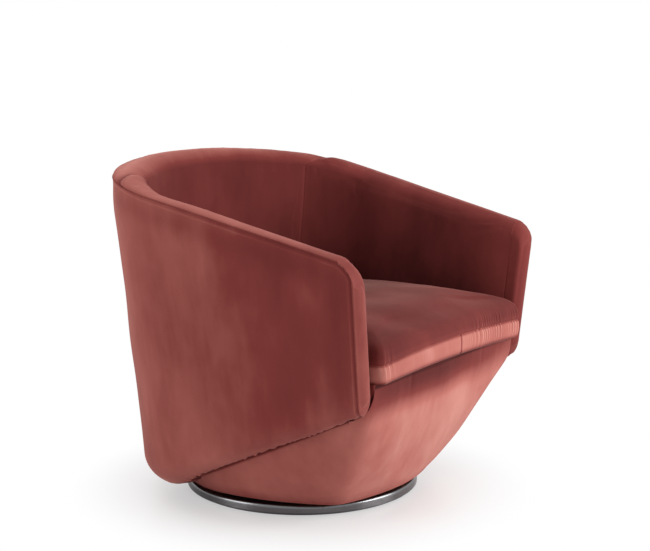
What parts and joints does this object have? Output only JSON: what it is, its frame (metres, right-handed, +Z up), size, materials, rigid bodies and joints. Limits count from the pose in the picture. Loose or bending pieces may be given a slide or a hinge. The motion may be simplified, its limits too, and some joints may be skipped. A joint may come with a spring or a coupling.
{
  "type": "swivel armchair",
  "caption": "Upholstered tub armchair with sloping arms, a fixed seat cushion and a plinth that turns on a round metal base.",
  "frame": {"origin": "on the floor at the swivel axis, in the middle of the base's underside", "axes": "+Z up along the swivel axis, -Y towards the front that the sitter faces, +X towards the sitter's left"},
  "size_m": [0.8426, 0.6642, 0.6859],
  "materials": {
    "velvet": "dusty rose velvet with a soft sheen",
    "base_finish": "satin gunmetal",
    "plate_steel": "matt black",
    "bearing_steel": "zinc plated",
    "cage_brass": "plain",
    "plywood": "unfinished birch plywood",
    "black_cloth": "thin non-woven cloth",
    "webbing": "woven elastic webbing",
    "deck_pad": "felted pad",
    "felt": "dense felt"
  },
  "bodies": {
    "base": {"floor_pad": "felt", "base_ring": "base_finish", "base_plate": "plate_steel", "plate_screws": "bearing_steel", "bearing_lower": "bearing_steel", "bearing_lower_screws": "bearing_steel"},
    "cage": {"bearing_balls": "bearing_steel", "ball_cage": "cage_brass"},
    "seat": {"bearing_upper": "bearing_steel", "bearing_upper_screws": "bearing_steel", "bottom_board": "plywood", "dust_cover": "black_cloth", "rib_front": "plywood", "rib_front_left": "plywood", "rib_left": "plywood", "rib_rear_left": "plywood", "rib_rear": "plywood", "rib_rear_right": "plywood", "rib_right": "plywood", "rib_front_right": "plywood", "seat_frame": "plywood", "straps_long": "webbing", "straps_cross": "webbing", "seat_deck": "deck_pad", "plinth_cover": "velvet", "arm_core_left": "plywood", "arm_core_right": "plywood", "back_core": "plywood", "tub_brackets": "bearing_steel", "outer_panel_left": "velvet", "outer_panel_right": "velvet", "outer_panel_back": "velvet", "arm_facing_left": "velvet", "arm_facing_right": "velvet", "inner_pad_left": "velvet", "inner_pad_right": "velvet", "inner_pad_back": "velvet", "seat_cushion": "velvet"}
  },
  "joints": [
    {"name": "swivel", "type": "hinge", "parent": "base", "child": "seat", "pos_m": [0, 0, 0.03], "axis": [0, 0, 1], "continuous": true},
    {"name": "ball_travel", "type": "hinge", "parent": "base", "child": "cage", "pos_m": [0, 0, 0.03], "axis": [0, 0, 1], "continuous": true}
  ],
  "couplings": [
    {"joint": "ball_travel", "follows": "swivel", "ratio": 0.5}
  ]
}
